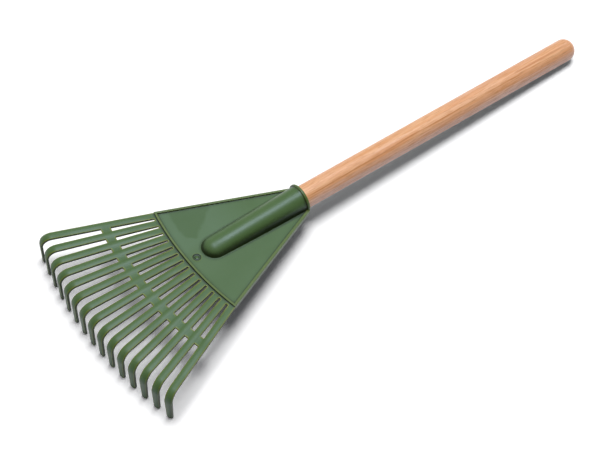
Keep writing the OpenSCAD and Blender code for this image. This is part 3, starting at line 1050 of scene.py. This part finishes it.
# Painted light: a paler tone on the handle's lower side towards -Y, where the floor lights it, by the
# angle round the handle from its top
UNDERLIGHT_STARTS = (0.75, 1.5)
UNDERLIGHT_STOPS = (2.4, math.pi)
UNDERLIGHT_SHARE = 0.95
ANGLE_WANDER = 0.5

# Dark streaks: angle at the mouth, its change to the metre, and the first and last place
STREAKS = (
    (0.68, -0.9, 0, 155 * MM), (0.8, -1.4, 145 * MM, 220 * MM),
    (0.2, 1.2, 225 * MM, 290 * MM), (0.22, 0, 270 * MM, 352 * MM),
)
STREAK_RANGE = (0.015, 0.1)
STREAK_STARTS = (-10 * MM, 15 * MM)
STREAK_STOPS = (-25 * MM, 0)
STREAK_SHARE = 0.6
STREAK_GRAIN_SHARE = 0.35

# Fine grain: its waves, where it shows, and how strongly
FIBRE_WAVES = (1500, 3, 0.02)
FIBRE_DEPTH = 0.04 * MM
FIBRE_DEPTH_SHARE = 0.6
MARK_DEPTH_SHARE = 0.5
SANDING_WAVES = (90, 2, 0.6)
SANDING_DEPTH = 0.12 * MM
LINE_WAVES = (600, 3, 0.03)
LINE_RANGE = (0.42, 0.6)
LINE_SHARE = 0.5
FLECK_WAVES = (950, 2, 0.09)
FLECK_RANGE = (0.5, 0.62)
FLECK_SHARE = 0.36
PINK_WAVES = (70, 2, 0.12)
PINK_RANGE = (0.42, 0.66)
PINK_SHARE = 0.5
PORE_WAVES = (2200, 1, 0.035)
PORE_RANGE = (0.66, 0.74)
PORE_SHARE = 0.5

handle_wood = bpy.data.materials.new("handle_wood")
handle.data.materials.append(handle_wood)
varnished = surface(handle_wood, IOR=1.5, Coat_Weight=0.4, Coat_Roughness=0.3)
tree = handle_wood.node_tree
object_place = add_node(tree, "ShaderNodeTexCoord").outputs["Object"]
in_handle = add_node(
    tree, "ShaderNodeMapping",
    {"Vector": object_place, "Location": fan_centre + handle_mouth, "Rotation": (0, handle_lean, 0)},
    vector_type="TEXTURE",
).outputs[0]
along_handle, aside, above = axes_of(tree, in_handle)
wander = noise(tree, in_handle, *WANDER_WAVES) - 0.5
drift = noise(tree, in_handle, *DRIFT_WAVES) - 0.5
from_pith = length_of(aside + PITH_ASIDE, above + PITH_BELOW)
rings = from_pith / RING_W + along_handle * RING_SLANT + wander * RING_WANDER + drift * RING_DRIFT
ring_share = rings.math("FRACT")
late_wood = limited(ring_share, *LATE_WOOD_STARTS) - limited(ring_share, *LATE_WOOD_STOPS)
ring_fade = limited(noise(tree, in_handle, *RING_FADE_WAVES), *RING_FADE_RANGE)
late_wood = late_wood * (ring_fade * RING_FADE + (1 - RING_FADE))
around = (aside * -1).math("ARCTAN2", above) + wander * ANGLE_WANDER
# Painted light on the handle's lower side, where the floor lights it
underlit_side = limited(around, *UNDERLIGHT_STARTS) * (1 - limited(around, *UNDERLIGHT_STOPS))
heart = None
for start, turn_share, first, last in STREAKS:
    beside = (around - start - along_handle * turn_share).math("ABSOLUTE")
    band = 1 - limited(beside, *STREAK_RANGE)
    band = band * limited(along_handle - first, *STREAK_STARTS)
    band = band * (1 - limited(along_handle - last, *STREAK_STOPS))
    heart = band if heart is None else heart.math("MAXIMUM", band)
fibre = noise(tree, in_handle, *FIBRE_WAVES)
lines = limited(noise(tree, in_handle, *LINE_WAVES), *LINE_RANGE)
flecks = limited(noise(tree, in_handle, *FLECK_WAVES), *FLECK_RANGE)
pink = limited(noise(tree, in_handle, *PINK_WAVES), *PINK_RANGE)
pores = limited(noise(tree, in_handle, *PORE_WAVES), *PORE_RANGE)

colour = layered(
    tree, WOOD_LIGHT, (pink * PINK_SHARE, WOOD_PINK), (underlit_side * UNDERLIGHT_SHARE, WOOD_UNDERLIGHT),
    (lines * LINE_SHARE, WOOD_MIDDLE), (late_wood * LATE_WOOD_SHARE, WOOD_DARK),
    (flecks * FLECK_SHARE, WOOD_DARK), (heart * (lines * STREAK_GRAIN_SHARE + STREAK_SHARE), WOOD_DARK),
    (pores * PORE_SHARE, WOOD_PORE),
)
rubbed, scratches = use_marks(tree, in_handle, patch_size=50 * MM, scratch_share=0.5)
roughness = fibre * FIBRE_ROUGHER + rubbed * WORN_ROUGHER + WOOD_ROUGH
sanding = bumped(tree, noise(tree, in_handle, *SANDING_WAVES), SANDING_DEPTH)
grain_height = fibre * FIBRE_DEPTH_SHARE - pores - scratches * MARK_DEPTH_SHARE
skin = bumped(tree, grain_height, FIBRE_DEPTH, sanding)
colour = plain_in_bounce(tree, colour, WOOD_IN_BOUNCE)
feed(tree, varnished, Base_Color=colour, Roughness=roughness, Normal=skin)
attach(handle, "root")
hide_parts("handle")

# Fixing screw
# One short slotted screw with a pan head, bright zinc on steel. It goes up through the pad under the
# socket into the wood and keeps the handle from turning or pulling out.
SCREW_R = 1.75 * MM
SCREW_HEAD_R = 3.5 * MM
SCREW_HEAD_H = 2.2 * MM
SCREW_LEN = 14 * MM
SCREW_POINT = 3 * MM
THREAD_PITCH = 1.25 * MM
THREAD_DEPTH = 0.4 * MM
SLOT_W = 1 * MM
SLOT_DEPTH = 1 * MM
PAN_SIDE_H = 0.9 * MM
PAN_ROUND_IN = 1.44 * MM
PAN_STEPS = 6
screw_profile = [(pad_seat - SCREW_LEN, 0)]
threads = round((SCREW_LEN - SCREW_POINT) / THREAD_PITCH)
for k in range(threads + 1):
    crest = pad_seat - SCREW_LEN + SCREW_POINT + (k - 0.5) * THREAD_PITCH
    screw_profile += [(crest, SCREW_R), (crest + THREAD_PITCH / 2, SCREW_R - THREAD_DEPTH)]
screw_profile = [point for point in screw_profile if point[0] < pad_seat - THREAD_PITCH]
screw_profile += [
    (pad_seat - THREAD_PITCH / 2, SCREW_R), (pad_seat, SCREW_R), (pad_seat, SCREW_HEAD_R),
]
for k in range(PAN_STEPS + 1):
    turn = math.pi / 2 * k / PAN_STEPS
    screw_profile.append((
        pad_seat + PAN_SIDE_H + (SCREW_HEAD_H - PAN_SIDE_H) * math.sin(turn),
        SCREW_HEAD_R - PAN_ROUND_IN * (1 - math.cos(turn)),
    ))
screw_profile.append((pad_seat + SCREW_HEAD_H, 0))
screw_mesh = bmesh.new()
add_turned(screw_mesh, screw_profile, screw_place, -handle_up, sideways, ROUND_STEPS // 2)
screw = closed_shell(screw_mesh, "slotted_screw")
slot_mesh = bmesh.new()
slot_middle = Matrix.Translation(screw_place - handle_up * (pad_seat + SCREW_HEAD_H))
slot_turn = Matrix((handle_along, sideways, handle_up)).transposed().to_4x4()
slot_size = Matrix.Diagonal((SCREW_HEAD_R * 3, SLOT_W, SLOT_DEPTH * 2, 1))
bmesh.ops.create_cube(slot_mesh, size=1, matrix=slot_middle @ slot_turn @ slot_size)
slot = closed_shell(slot_mesh, "slot")
combine(screw, (slot, "DIFFERENCE"))
screw.data.shade_smooth()
screw.data.set_sharp_from_angle(angle=TURNED_SHARP_TURN)

ZINC_GREY = (0.5, 0.51, 0.53, 1)
ZINC_BRIGHT = (0.66, 0.67, 0.68, 1)
ZINC_ROUGH = 0.25
MOTTLE_ROUGHER = 0.1
SCUFF_ROUGHER = 0.15
MOTTLE_WAVES = (900, 3)
MOTTLE_DEPTH = 0.03 * MM
screw_steel = bpy.data.materials.new("screw_steel")
screw.data.materials.clear()
screw.data.materials.append(screw_steel)
bright_zinc = surface(screw_steel, Metallic=1.0)
tree = screw_steel.node_tree
place = add_node(tree, "ShaderNodeTexCoord").outputs["Object"]
rubbed, scratches = use_marks(tree, place, patch_size=4 * MM, scratch_share=1.0)
mottle = noise(tree, place, *MOTTLE_WAVES)
colour = mixed(tree, mottle, ZINC_GREY, ZINC_BRIGHT)
roughness = rubbed * SCUFF_ROUGHER + mottle * MOTTLE_ROUGHER + ZINC_ROUGH
skin = bumped(tree, mottle - scratches, MOTTLE_DEPTH)
feed(tree, bright_zinc, Base_Color=colour, Roughness=roughness, Normal=skin)
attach(screw, "root")
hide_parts("fixing_screw")

# Studio
# A plain near-white floor under one broad soft lamp, high behind the rake, and a pale sky that is
# brighter behind the rake than on the camera's side. The floor and the sky show white to the camera
# and pale in reflections, and the floor keeps the shadow.
FLOOR_SIZE = 4
FLOOR_LIT = (0.62, 0.62, 0.66, 1)
FLOOR_SHOWN = (1.15, 1.15, 1.16, 1)
FLOOR_IN_GLOSS = 0.6
FLOOR_GLOW = 0.25
FLOOR_LIFT = 0.032
FLOOR_COOL = (0.98, 0.95, 1.05, 1)
LAMP_STRENGTH = 2.85
LAMP_SPREAD = 0.54
LAMP_TURN = Euler([math.radians(turn) for turn in (-6, 9, 0)])
SKY_WHITE = (1, 1, 1, 1)
SKY_LIT = 0.18
SKY_SHOWN = 1.0
SKY_IN_GLOSS = 0.45
SKY_AWAY = Vector((0.45, 0.89, 0))
SKY_AWAY_RANGE = (-0.5, 0.5)


def seen_rays(tree):
    """Fields that are 1 for a ray from the camera, and for one from a reflection or through glass."""
    rays = add_node(tree, "ShaderNodeLightPath").outputs
    glossy, through = [Field(tree, rays[name]) for name in ("Is Glossy Ray", "Is Transmission Ray")]
    return Field(tree, rays["Is Camera Ray"]), glossy.math("MAXIMUM", through)


floor_mesh = bpy.data.meshes.new("floor")
floor_sheet = bmesh.new()
bmesh.ops.create_grid(floor_sheet, x_segments=1, y_segments=1, size=FLOOR_SIZE)
floor_sheet.to_mesh(floor_mesh)
floor_sheet.free()
floor = bpy.data.objects.new("floor", floor_mesh)
bpy.context.scene.collection.objects.link(floor)
floor_paper = bpy.data.materials.new("floor_paper")
floor.data.materials.append(floor_paper)
paper = surface(floor_paper, Roughness=1.0, IOR=1.0, Emission_Color=FLOOR_COOL)
tree = floor_paper.node_tree
from_camera, in_gloss = seen_rays(tree)
colour = mixed(tree, from_camera + in_gloss * FLOOR_IN_GLOSS, FLOOR_LIT, FLOOR_SHOWN)
glow = from_camera * FLOOR_LIFT + in_gloss * FLOOR_GLOW
feed(tree, paper, Base_Color=colour, Emission_Strength=glow)

lamp = bpy.data.lights.new("lamp", "SUN")
lamp.energy = LAMP_STRENGTH
lamp.angle = LAMP_SPREAD
lamp_object = bpy.data.objects.new("lamp", lamp)
lamp_object.rotation_euler = LAMP_TURN
bpy.context.scene.collection.objects.link(lamp_object)

sky = bpy.data.worlds.new("sky")
bpy.context.scene.world = sky
sky.use_nodes = True
tree = sky.node_tree
backdrop = tree.nodes["Background"]
backdrop.inputs["Color"].default_value = SKY_WHITE
from_camera, in_gloss = seen_rays(tree)
towards = add_node(tree, "ShaderNodeTexCoord").outputs["Generated"]
away = add_node(
    tree, "ShaderNodeVectorMath", {0: towards, 1: SKY_AWAY}, operation="DOT_PRODUCT"
).outputs["Value"]
lit = limited(Field(tree, away), *SKY_AWAY_RANGE) * (in_gloss * (SKY_IN_GLOSS - SKY_LIT) + SKY_LIT)
feed(tree, backdrop, Strength=from_camera * SKY_SHOWN + (1 - from_camera) * lit)
bpy.context.scene.view_settings.view_transform = "Standard"
